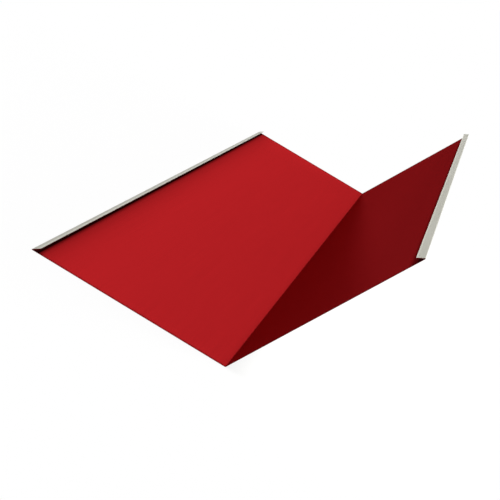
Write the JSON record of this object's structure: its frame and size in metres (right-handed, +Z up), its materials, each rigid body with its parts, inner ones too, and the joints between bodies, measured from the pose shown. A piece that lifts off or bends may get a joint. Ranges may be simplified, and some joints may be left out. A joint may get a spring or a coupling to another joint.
{
  "type": "valley flashing",
  "caption": "V-shaped folded steel sheet that lines the valley between two roof slopes, with an open hem along each long edge.",
  "frame": {"origin": "middle of the flashing's footprint, on the surface that its left flange lies on", "axes": "+X across the flashing, from the left hem towards the raised right flange; +Y along its length and its valley line; +Z up, out of the left flange's painted face"},
  "size_m": [0.4498, 2, 0.2603],
  "materials": {
    "painted_steel": "polyester top coat in deep red, satin, on zinc-coated steel; plain light grey coat on the back"
  },
  "bodies": {
    "root": {"valley_flashing": "painted_steel"}
  },
  "joints": []
}
